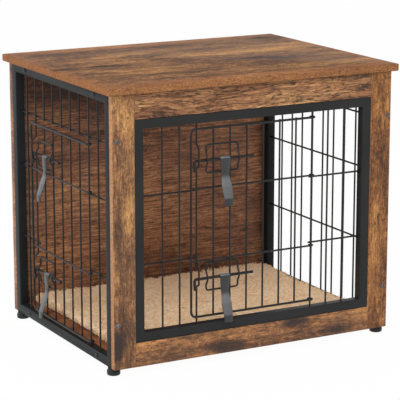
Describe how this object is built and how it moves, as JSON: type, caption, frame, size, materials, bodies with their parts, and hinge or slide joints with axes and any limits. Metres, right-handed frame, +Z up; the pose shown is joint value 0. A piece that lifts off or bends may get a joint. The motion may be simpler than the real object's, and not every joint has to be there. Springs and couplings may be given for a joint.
{
  "type": "dog crate end table",
  "caption": "Crate for a dog in the form of an end table: board top and front, steel tube frame, wire walls, hinged wire doors with turning bolt latches, and a plush pad.",
  "frame": {"origin": "on the floor, under the middle of the table's plan", "axes": "+Z up, the front with the wide door faces -Y, the wall with the second door faces -X, +X along the table's width"},
  "size_m": [0.6949, 0.5469, 0.6],
  "materials": {
    "top_board": "satin rustic wood film over particle board",
    "front_board": "satin rustic wood film over particle board",
    "back_board": "satin rustic wood film over particle board",
    "floor_board": "satin wood film over particle board",
    "black_steel": "satin black powder coat",
    "screw_steel": "black coated steel",
    "foot_plastic": "matte black",
    "insert_plastic": "matte black",
    "plush": "soft long pile"
  },
  "bodies": {
    "crate": {"back_left_foot": "foot_plastic", "back_panel": "back_board", "back_panel_screws": "screw_steel", "back_right_foot": "foot_plastic", "floor_panel": "floor_board", "foot_inserts": "insert_plastic", "front_bottom_rail": "front_board", "front_frame_bottom_rail": "black_steel", "front_frame_left_post": "black_steel", "front_frame_right_post": "black_steel", "front_frame_top_rail": "black_steel", "front_grille_left": "black_steel", "front_grille_right": "black_steel", "front_left_foot": "foot_plastic", "front_right_foot": "foot_plastic", "front_top_rail": "front_board", "left_back_post": "black_steel", "left_bottom_rail": "black_steel", "left_front_post": "black_steel", "left_grille_front": "black_steel", "left_grille_rear": "black_steel", "left_grille_upper": "black_steel", "left_rail_screws": "screw_steel", "left_stile": "front_board", "left_top_rail": "black_steel", "plush_pad": "plush", "right_back_post": "black_steel", "right_bottom_rail": "black_steel", "right_front_post": "black_steel", "right_grille": "black_steel", "right_rail_screws": "screw_steel", "right_stile": "front_board", "right_top_rail": "black_steel", "stile_screws": "screw_steel", "table_top": "top_board", "top_brackets": "black_steel"},
    "front_door": {"front_door_grid": "black_steel", "front_upper_guide": "black_steel", "front_lower_guide": "black_steel"},
    "side_door": {"side_door_grid": "black_steel", "side_upper_guide": "black_steel", "side_lower_guide": "black_steel"},
    "front_upper_latch": {"front_upper_bolt": "black_steel", "front_upper_paddle": "black_steel"},
    "front_lower_latch": {"front_lower_bolt": "black_steel", "front_lower_paddle": "black_steel"},
    "side_upper_latch": {"side_upper_bolt": "black_steel", "side_upper_paddle": "black_steel"},
    "side_lower_latch": {"side_lower_bolt": "black_steel", "side_lower_paddle": "black_steel"}
  },
  "joints": [
    {"name": "front_door_hinge", "type": "hinge", "parent": "crate", "child": "front_door", "pos_m": [0.13825, -0.252, 0.3015], "axis": [0, 0, 1], "range_deg": [0, 165]},
    {"name": "side_door_hinge", "type": "hinge", "parent": "crate", "child": "side_door", "pos_m": [-0.325, -0.1344, 0.255], "axis": [0, 0, 1], "range_deg": [0, 165]},
    {"name": "front_upper_turn", "type": "hinge", "parent": "front_door", "child": "front_upper_latch", "pos_m": [-0.07525, -0.2573, 0.4335], "axis": [-1, 0, 0], "range_deg": [0, 160]},
    {"name": "front_lower_turn", "type": "hinge", "parent": "front_door", "child": "front_lower_latch", "pos_m": [-0.07525, -0.2573, 0.184], "axis": [-1, 0, 0], "range_deg": [0, 168]},
    {"name": "side_upper_turn", "type": "hinge", "parent": "side_door", "child": "side_upper_latch", "pos_m": [-0.3303, 0.0714, 0.4005], "axis": [0, 1, 0], "range_deg": [0, 160]},
    {"name": "side_lower_turn", "type": "hinge", "parent": "side_door", "child": "side_lower_latch", "pos_m": [-0.3303, 0.0714, 0.14], "axis": [0, 1, 0], "range_deg": [0, 168]}
  ]
}
